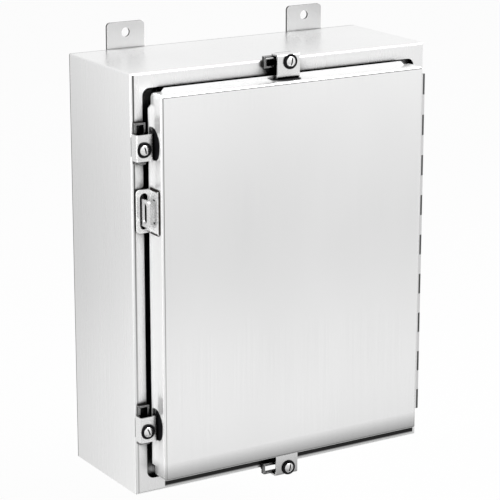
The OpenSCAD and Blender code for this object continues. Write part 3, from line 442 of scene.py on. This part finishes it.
STEELS = {
    "stainless_body": dict(
        tone=0.91, roughness=0.30, grain=UPRIGHT, reach=0.030, floor_at=0.42, open_at=0.72,
        side_shade=(BODY_HIGH.y, BODY_LOW.y, 0.84), lines=BODY_SHADE_LINES, streak=0.025,
        back_band=(BODY_HIGH.y - BACK_BAND_HALF, BACK_BAND_HALF)),
    # the feet: a darker copy of the body's steel, as painted shade
    "stainless_feet": dict(
        tone=0.56, roughness=0.34, grain=UPRIGHT, reach=0.008, floor_at=0.2, open_at=0.5,
        cut_edge_shade=0.06),
    "stainless_door": dict(
        tone=0.95, roughness=0.20, grain=UPRIGHT, reach=0.006, floor_at=0.15, open_at=0.45,
        highlight_radius=0.4 * MM, lines=DOOR_SHADE_LINES, satin=0.45,
        low_shade=(-WALL_Z, -WALL_Z + DOOR_SHADE_RISE, 0.38)),
    "stainless_fitting": dict(
        tone=0.84, roughness=0.28, grain=EVERY_WAY, reach=0.012, floor_at=0.45, open_at=0.75,
        low_shade=(FITTING_DARK, FITTING_PLAIN, 0.22)),
    "stainless_screw": dict(
        tone=0.86, roughness=0.26, grain=EVERY_WAY, reach=0.004, floor_at=0.62, open_at=0.86,
        low_shade=(FITTING_DARK, FITTING_PLAIN, 0.6)),
    # the brackets: a near-black copy of the fitting steel, as painted shade inside them, with a
    # painted highlight along their rims
    "stainless_bracket": dict(
        tone=0.10, roughness=0.30, grain=EVERY_WAY, reach=0.012, floor_at=0.5, open_at=0.8,
        highlight_radius=0.8 * MM),
    "stainless_hasp": dict(
        tone=0.90, roughness=0.28, grain=EVERY_WAY, reach=0.004, floor_at=0.25, open_at=0.5,
        satin=0.7),
    "stainless_hinge": dict(
        tone=0.72, roughness=0.36, grain=ALONG_HINGE, reach=0.006, floor_at=0.3, open_at=0.7),
    # the body's hinge leaf: a near-black copy of the hinge steel, as painted shade on its knuckles
    "hinge_dark": dict(
        tone=0.10, roughness=0.36, grain=ALONG_HINGE, reach=0.006, floor_at=0.3, open_at=0.7,
        edge_highlight=0.2),
}
# Colour, roughness, colour of the tarnish
PLATINGS = {
    "zinc": ((0.66, 0.67, 0.69), 0.30, (0.45, 0.45, 0.44)),
    "tinned_lug": ((0.74, 0.75, 0.76), 0.36, (0.5, 0.5, 0.5)),
    "copper": ((0.80, 0.42, 0.28), 0.28, (0.42, 0.2, 0.12)),
    "clip_brass": ((0.80, 0.60, 0.30), 0.26, (0.5, 0.34, 0.16)),
}
# Colour, roughness, then what moulded() takes after them
MOULDINGS = {
    "fuse_label": ((0.42, 0.10, 0.07), 0.55, 0.05),
    "white_panel": ((0.86, 0.86, 0.84), 0.42, 0.10, (0.92, 0.92, 0.9)),
    "green_screw": ((0.05, 0.30, 0.10), 0.35, 0.05),
    "new_rubber": ((0.004, 0.004, 0.005), 0.6, 0.05, None, 0.1),
    "grey_plastic": ((0.42, 0.44, 0.45), 0.45),
    "black_phenolic": ((0.028, 0.028, 0.031), 0.42, 0.15, grey(0.09)),
    "red_brown_phenolic": ((0.20, 0.055, 0.04), 0.4, 0.12, (0.32, 0.12, 0.09)),
    "red_plastic": ((0.60, 0.03, 0.02), 0.28, 0.04, (0.72, 0.1, 0.08)),
}
# Colour of the fibre, colour of its threads
FIBRES = {
    "chute_fibre": ((0.50, 0.46, 0.40), (0.36, 0.33, 0.28)),
    "fuse_fibre": ((0.74, 0.70, 0.58), (0.60, 0.55, 0.42)),
}


def make_materials():
    """Every finish of the scene, by name."""
    materials = {name: steel(name, **look) for name, look in STEELS.items()}
    for make, looks in ((plated, PLATINGS), (moulded, MOULDINGS), (fibre, FIBRES)):
        materials.update((name, make(name, *look)) for name, look in looks.items())
    for make, name in ((weld_metal, "weld"), (foam, "gasket_rubber"),
                       (clear_sheet, "clear_plastic")):
        materials[name] = make(name)
    return materials


# CAD nodes that have a finish of their own, in place of the one of their slot; some are darker
# copies of it, as painted shade
OWN_FINISH = {"mounting_feet": "stainless_feet", "clamp_brackets": "stainless_bracket",
              "padlock_hasp": "stainless_hasp", "hinge_leaf_body": "hinge_dark",
              **{"clamp_screw_%d" % n: "stainless_screw" for n in CLAMPS}}


def paint_nodes(materials):
    """Gives every CAD node the material of its slot, or its own shade of it."""
    for part in frame["record"]["subparts"]:
        mesh = NODES[part["node"]].data
        mesh.materials.clear()
        mesh.materials.append(materials[OWN_FINISH.get(part["node"], part["material_slot"])])


# ---------- fine detail ----------

SAME_POINT = 1e-6
FRONT = Vector((0, -1, 0))


def new_piece(name, body, material, build, smooth=True):
    """A mesh piece made by build(bm), riding on a body."""
    bm = bmesh.new()
    build(bm)
    bmesh.ops.recalc_face_normals(bm, faces=bm.faces)
    mesh = bpy.data.meshes.new(name)
    bm.to_mesh(mesh)
    bm.free()
    for face in mesh.polygons:
        face.use_smooth = smooth
    mesh.materials.append(material)
    obj = bpy.data.objects.new(name, mesh)
    bpy.context.scene.collection.objects.link(obj)
    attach(obj, body)


def island_boxes(node):
    """The lowest and highest corners of each separate solid of a CAD node."""
    bm = bmesh.new()
    bm.from_mesh(NODES[node].data)
    bmesh.ops.remove_doubles(bm, verts=bm.verts, dist=SAME_POINT)
    bm.verts.ensure_lookup_table()
    seen, boxes = set(), []
    for start in bm.verts:
        if start.index in seen:
            continue
        seen.add(start.index)
        stack, points = [start], []
        while stack:
            vert = stack.pop()
            points.append(vert.co.copy())
            for edge in vert.link_edges:
                other = edge.other_vert(vert)
                if other.index not in seen:
                    seen.add(other.index)
                    stack.append(other)
        boxes.append((Vector([min(p[i] for p in points) for i in range(3)]),
                      Vector([max(p[i] for p in points) for i in range(3)])))
    bm.free()
    return boxes


# Weld beads: half their width, the pitch of their ripples, and how they are meshed
BEAD = 0.8 * MM
HASP_BEAD = 1.6 * MM
FOOT_BEAD = 1.3 * MM
RIPPLE = 1.1 * MM
RIPPLE_SWELL, BEAD_JITTER = 0.12, 0.05  # shares of the bead's radius
BLUNT_END = 0.04                        # square of the radius's share left at a bead's end
BEAD_SIDES, RINGS_PER_RIPPLE, LEAST_RINGS = 8, 3, 6


def add_bead(bm, start, end, radius):
    """A rippled weld bead between two points, with rounded ends."""
    along = end - start
    length = along.length
    steps = max(LEAST_RINGS, round(length / RIPPLE * RINGS_PER_RIPPLE))
    side = along.orthogonal().normalized()
    other = along.cross(side).normalized()
    rings = []
    for i in range(steps + 1):
        share = i / steps
        from_end = min(share, 1 - share) * length
        taper = math.sqrt(max(BLUNT_END, 1 - max(0, 1 - from_end / radius) ** 2))
        swell = (1 + RIPPLE_SWELL * math.sin(share * length / RIPPLE * math.tau)
                 + random.uniform(-BEAD_JITTER, BEAD_JITTER))
        centre = start + along * share
        rings.append([bm.verts.new(centre + radius * taper * swell
                                   * (side * math.cos(a) + other * math.sin(a)))
                      for a in (math.tau * k / BEAD_SIDES for k in range(BEAD_SIDES))])
    for low, high in zip(rings, rings[1:]):
        for k in range(BEAD_SIDES):
            n = (k + 1) % BEAD_SIDES
            bm.faces.new((low[k], low[n], high[n], high[k]))
    bm.faces.new(rings[0])
    bm.faces.new(rings[-1][::-1])


# Where the beads run
HASP_IN = 1.2 * MM                      # end beads of the hasp: in from its face,
HASP_BACK = 3 * MM                      # and short of its back
BRACKET_CLEAR = 3 * MM                  # side brackets: the stretch at the outer end left bare
BRACKET_RUN = 8 * MM                    # top and bottom brackets: the bead's length
STAPLE_CLEAR = 1 * MM
FOOT_RUNS = ((0.05, 0.4), (0.6, 0.95))  # shares of the way from its inner end to the body's edge
FOOT_CORNER = 6 * MM                    # the foot's rounded corners, left bare
HINGE_RUNS, HINGE_RUN = 6, (0.35, 0.65)     # how many, and the share of each stretch they cover


def add_welds(materials):
    """Dark beads where the fittings meet the sheet."""
    flange_y, back_y = BODY_LOW.y, BODY_HIGH.y

    def piece(name, body, lines, radius=BEAD):
        def build(bm):
            for start, end in lines:
                add_bead(bm, Vector(start), Vector(end), radius)
        new_piece(name, body, materials["weld"], build)

    low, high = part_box("padlock_hasp")
    end_x = high.x - HASP_IN
    piece("hasp_weld", "door",
          [((high.x, low.y, low.z), (high.x, low.y, high.z))]
          + [((end_x, low.y, z), (end_x, high.y - HASP_BACK, z)) for z in (high.z, low.z)],
          HASP_BEAD)
    for n, (low, high) in enumerate(island_boxes("clamp_brackets"), 1):
        if high.z - low.z > high.x - low.x:
            lines = [((low.x + BRACKET_CLEAR, flange_y, z), (high.x, flange_y, z))
                     for z in (low.z, high.z)]
        else:
            inner_z = low.z if low.z > 0 else high.z
            outer_z = inner_z + math.copysign(BRACKET_RUN, inner_z)
            lines = [((x, flange_y, inner_z), (x, flange_y, outer_z)) for x in (low.x, high.x)]
        piece("bracket_weld_%d" % n, "enclosure", lines)
    low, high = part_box("padlock_staple")
    piece("staple_weld", "enclosure", [
        ((x, high.y, low.z + STAPLE_CLEAR), (x, high.y, high.z - STAPLE_CLEAR))
        for x in (low.x, high.x)])
    for n, (low, high) in enumerate(island_boxes("mounting_feet"), 1):
        edge_z = BODY_HIGH.z if high.z > 0 else BODY_LOW.z
        inner_z = low.z if high.z > 0 else high.z
        lines = [tuple((x, back_y, inner_z + (edge_z - inner_z) * share) for share in run)
                 for x in (low.x, high.x) for run in FOOT_RUNS]
        lines.append(((low.x + FOOT_CORNER, back_y, inner_z),
                      (high.x - FOOT_CORNER, back_y, inner_z)))
        piece("foot_weld_%d" % n, "enclosure", lines, FOOT_BEAD)
    low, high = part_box("hinge_leaf_body")
    pitch = (high.z - low.z) / HINGE_RUNS
    piece("hinge_weld", "enclosure", [
        tuple((low.x, flange_y, low.z + pitch * (k + share)) for share in HINGE_RUN)
        for k in range(HINGE_RUNS)])


# Spot welds on the hasp: the thickness of its leg, their radius, how they are flattened,
# and their places as shares of the hasp's depth and height
HASP_LEG = 2.4 * MM
SPOT, SPOT_SHAPE, SPOT_RINGS = 2 * MM, (0.15, 1, 0.6), 8
SPOT_DEPTH, SPOT_HEIGHTS = 0.42, (0.25, 0.78)


def add_spots(materials):
    """Two resistance-weld spots pressed into the hasp's leg."""
    low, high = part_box("padlock_hasp")
    x = high.x - HASP_LEG
    y = low.y + SPOT_DEPTH * (high.y - low.y)

    def build(bm):
        for share in SPOT_HEIGHTS:
            z = low.z + share * (high.z - low.z)
            made = bmesh.ops.create_uvsphere(bm, u_segments=2 * SPOT_RINGS,
                                             v_segments=SPOT_RINGS, radius=SPOT)
            bmesh.ops.scale(bm, vec=SPOT_SHAPE, verts=made["verts"])
            bmesh.ops.translate(bm, vec=(x, y, z), verts=made["verts"])
    new_piece("hasp_spots", "door", materials["weld"], build)


# The outline of the painted shadow sheet beside a clamp, in millimetres: how far along the wall
# from the plate's middle, towards the free end of its bracket, and the height above the flange
CLAMP_SHADOW_RIM = ((22, 11), (21, 15), (17, 20), (12, 24), (5, 26), (-6, 25.5), (-12, 23),
             (-15.5, 18), (-16, 11), (-16, 9), (22, 9))
CLAMP_SHADOW_FACES = (0.02 * MM, 0.24 * MM)    # its two faces, off the door's wall


def add_clamp_shadow_sheets(materials):
    """Thin black sheets on the door's walls, where the clamps' plates lie: a painted shadow of each
    clamp on the wall.
    """
    outline = [(place * MM, height * MM) for place, height in CLAMP_SHADOW_RIM]
    for n in CLAMPS:
        low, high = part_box("clamp_plate_%d" % n)
        middle = (low + high) / 2
        if abs(middle.x) > abs(middle.z) * WALL_X / WALL_Z:
            along, out = Vector((0, 0, 1)), Vector((math.copysign(1, middle.x), 0, 0))
            foot = Vector((out.x * WALL_X, BODY_LOW.y, middle.z))
        else:
            along, out = Vector((-1, 0, 0)), Vector((0, 0, math.copysign(1, middle.z)))
            foot = Vector((middle.x, BODY_LOW.y, out.z * WALL_Z))

        def build(bm):
            inner, outer = [[bm.verts.new(foot + along * place + FRONT * height + out * lift)
                             for place, height in outline] for lift in CLAMP_SHADOW_FACES]
            bm.faces.new(inner[::-1])
            bm.faces.new(outer)
            for i in range(len(outline)):
                j = (i + 1) % len(outline)
                bm.faces.new((inner[i], inner[j], outer[j], outer[i]))
        new_piece("clamp_guard_%d" % n, "door", materials["new_rubber"],
                  build, smooth=False)


# The black roll round a screw's head, a painted shadow shaped as squeezed rubber: its radius, how
# unevenly it is squeezed, and its mesh
ROLL, ROLL_JITTER = 1.5 * MM, 0.06
ROLL_SIDES, ROLL_TURNS = 10, 48


def add_screw_shadow_rolls(materials):
    """A black roll round each clamp screw's head, shaped as rubber pushed out by its washer: a
    painted shadow round the head.
    """
    for n in CLAMPS:
        low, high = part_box("clamp_washer_%d" % n)
        screw_low, screw_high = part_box("clamp_screw_%d" % n)
        centre = (low + high) / 2
        ring = (screw_high.x - screw_low.x) / 2 + ROLL

        def build(bm):
            rows = []
            for i in range(ROLL_TURNS):
                a = math.tau * i / ROLL_TURNS
                out = Vector((math.cos(a), 0, math.sin(a)))
                roll = ROLL * (1 + random.uniform(-ROLL_JITTER, ROLL_JITTER))
                middle = Vector((centre.x, low.y, centre.z)) + out * ring
                rows.append([bm.verts.new(middle + roll * (out * math.cos(b) + FRONT * math.sin(b)))
                             for b in (math.tau * k / ROLL_SIDES for k in range(ROLL_SIDES))])
            for i in range(ROLL_TURNS):
                here, after = rows[i], rows[(i + 1) % ROLL_TURNS]
                for k in range(ROLL_SIDES):
                    m = (k + 1) % ROLL_SIDES
                    bm.faces.new((here[k], here[m], after[m], after[k]))
        new_piece("screw_shadow_roll_%d" % n, "clamp_%d" % n,
                  materials["new_rubber"], build)


# The band round a fuse: how far off its tube, how thick, and half its height as a share
# of the tube's
LABEL_OFF, LABEL_THICK = 0.12 * MM, 0.1 * MM
LABEL_SHARE, LABEL_SIDES = 0.24, 64


def add_fuse_labels(materials):
    """A plain band wrapped round each fuse's tube."""
    for n in FUSES:
        low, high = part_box("fuse_tube_%d" % n)
        centre = (low + high) / 2
        radius = (high.x - low.x) / 2 + LABEL_OFF
        half = LABEL_SHARE * (high.z - low.z)

        def build(bm):
            made = bmesh.ops.create_cone(bm, cap_ends=False, segments=LABEL_SIDES,
                                         radius1=radius, radius2=radius, depth=2 * half)
            bmesh.ops.translate(bm, vec=centre, verts=made["verts"])
            bmesh.ops.solidify(bm, geom=bm.faces[:], thickness=LABEL_THICK)
        new_piece("fuse_label_%d" % n, "fuse_%d" % n,
                  materials["fuse_label"], build)


# ---------- studio ----------

FLOOR_DROP = 0.14                       # from the part's lowest point down to the floor
FLOOR_HALF = 12
FLOOR_TONE = 0.93
FLOOR_LIFT = 0.93                       # how much of white the camera and reflections see there
# How far from the wall plane, and the tone that metal sees there in the painted floor reflection
SHEEN_FRONT = ((0.20, 0.35), (0.40, 0.60), (0.60, 0.80), (0.80, 0.90), (1.10, 0.86),
               (1.60, 0.70), (2.30, 0.78), (3.20, 0.92))
SHEEN_BEHIND = ((0.20, 0.90), (0.80, 0.92), (1.10, 0.80), (1.50, 0.72), (2.00, 0.82),
                (3.00, 0.80))
SHEEN_HALF = 4.5                        # half the width of those reflection cards
RAMP_STARTS_WITH = 2                    # stops that a new colour ramp already has
AMBIENT, MIRRORED = 0.55, 0.95          # the world's strength as light, and as metal sees it
# Name, azimuth, elevation, distance, width, height, watts
LAMPS = (("key", 25, 50, 3.2, 2.0, 1.6, 60),
         ("fill", -75, 15, 3.0, 0.8, 2.2, 40))


def lifted(name, tone, lift):
    """A pale surface that the camera, metal and glass see as nearly white."""
    s = Shader(name)
    s.set(Base_Color=(*grey(tone), 1.0), Roughness=0.9)
    path = s.add("ShaderNodeLightPath")
    seen = s.math("MAXIMUM", path.outputs["Is Camera Ray"], path.outputs["Is Glossy Ray"])
    seen = s.math("MAXIMUM", seen, path.outputs["Is Transmission Ray"])
    glow = s.add("ShaderNodeEmission")
    mix = s.add("ShaderNodeMixShader")
    s.link(s.math("MULTIPLY", seen, lift), mix.inputs["Fac"])
    s.link(s.bsdf.outputs["BSDF"], mix.inputs[1])
    s.link(glow.outputs["Emission"], mix.inputs[2])
    s.link(mix.outputs["Shader"], s.tree.nodes["Material Output"].inputs["Surface"])
    return s.material


def quad(name, corners, material):
    """A flat card of the studio."""
    mesh = bpy.data.meshes.new(name)
    mesh.from_pydata(corners, [], [(0, 1, 2, 3)])
    mesh.materials.append(material)
    obj = bpy.data.objects.new(name, mesh)
    bpy.context.scene.collection.objects.link(obj)
    return obj


def add_floor():
    z, half = cad_low.z - FLOOR_DROP, FLOOR_HALF
    quad("floor", [(-half, -half, z), (half, -half, z), (half, half, z), (-half, half, z)],
         lifted("floor", FLOOR_TONE, FLOOR_LIFT))


def add_reflection_card(name, tones, way):
    """A glowing card just above the floor, seen only in reflections: a painted reflection of the
    floor in front (way -1) or behind (way 1).
    """
    s = Shader(name)
    ramp = s.add("ShaderNodeValToRGB")
    near, far = way * tones[0][0], way * tones[-1][0]
    s.link(s.ranged(s.axis("Y"), near, far), ramp.inputs["Fac"])
    stops = ramp.color_ramp.elements
    for i, (distance, tone) in enumerate(tones):
        place = (way * distance - near) / (far - near)
        stop = stops[i] if i < RAMP_STARTS_WITH else stops.new(place)
        stop.position = place
        stop.color = (*grey(tone), 1.0)
    glow = s.add("ShaderNodeEmission")
    s.link(ramp.outputs["Color"], glow.inputs["Color"])
    s.link(glow.outputs["Emission"], s.tree.nodes["Material Output"].inputs["Surface"])
    z, half = cad_low.z - FLOOR_DROP + MM, SHEEN_HALF
    card = quad(name, [(-half, near, z), (half, near, z), (half, far, z), (-half, far, z)],
                s.material)
    card.visible_camera = False
    card.visible_diffuse = False
    card.visible_transmission = False
    card.visible_shadow = False


def add_softbox(name, azimuth, elevation, distance, width, height, watts):
    """A rectangular lamp aimed at the part, at angles in degrees, that the camera can't see."""
    data = bpy.data.lights.new(name, "AREA")
    data.shape = "RECTANGLE"
    data.size = width
    data.size_y = height
    data.energy = watts
    lamp = bpy.data.objects.new(name, data)
    bpy.context.scene.collection.objects.link(lamp)
    lamp.location = distance * view_direction(math.radians(azimuth), math.radians(elevation))
    aim(lamp, VIEW_AIM)
    lamp.visible_camera = False


def add_world(ambient, mirrored):
    """White to the camera and glass, nearly so to metal, and a softer grey as light."""
    world = bpy.data.worlds.new("studio")
    bpy.context.scene.world = world
    world.use_nodes = True
    tree = world.node_tree
    background = tree.nodes["Background"]
    path = tree.nodes.new("ShaderNodeLightPath")
    strength = ambient
    for key, level in (("Is Glossy Ray", mirrored), ("Is Transmission Ray", 1.0),
                       ("Is Camera Ray", 1.0)):
        choose = tree.nodes.new("ShaderNodeMix")
        choose.data_type = "FLOAT"
        tree.links.new(path.outputs[key], choose.inputs["Factor"])
        if isinstance(strength, float):
            choose.inputs["A"].default_value = strength
        else:
            tree.links.new(strength, choose.inputs["A"])
        choose.inputs["B"].default_value = level
        strength = choose.outputs["Result"]
    tree.links.new(strength, background.inputs["Strength"])
    background.inputs["Color"].default_value = (1, 1, 1, 1)


def add_studio():
    add_floor()
    add_reflection_card("sheen_front", SHEEN_FRONT, -1)
    add_reflection_card("sheen_behind", SHEEN_BEHIND, 1)
    add_world(AMBIENT, MIRRORED)
    for lamp in LAMPS:
        add_softbox(*lamp)
    bpy.context.scene.view_settings.view_transform = "Standard"


# ---------- the scene ----------

add_camera()
finishes = make_materials()
paint_nodes(finishes)
add_welds(finishes)
add_spots(finishes)
add_clamp_shadow_sheets(finishes)
add_screw_shadow_rolls(finishes)
add_fuse_labels(finishes)
add_studio()
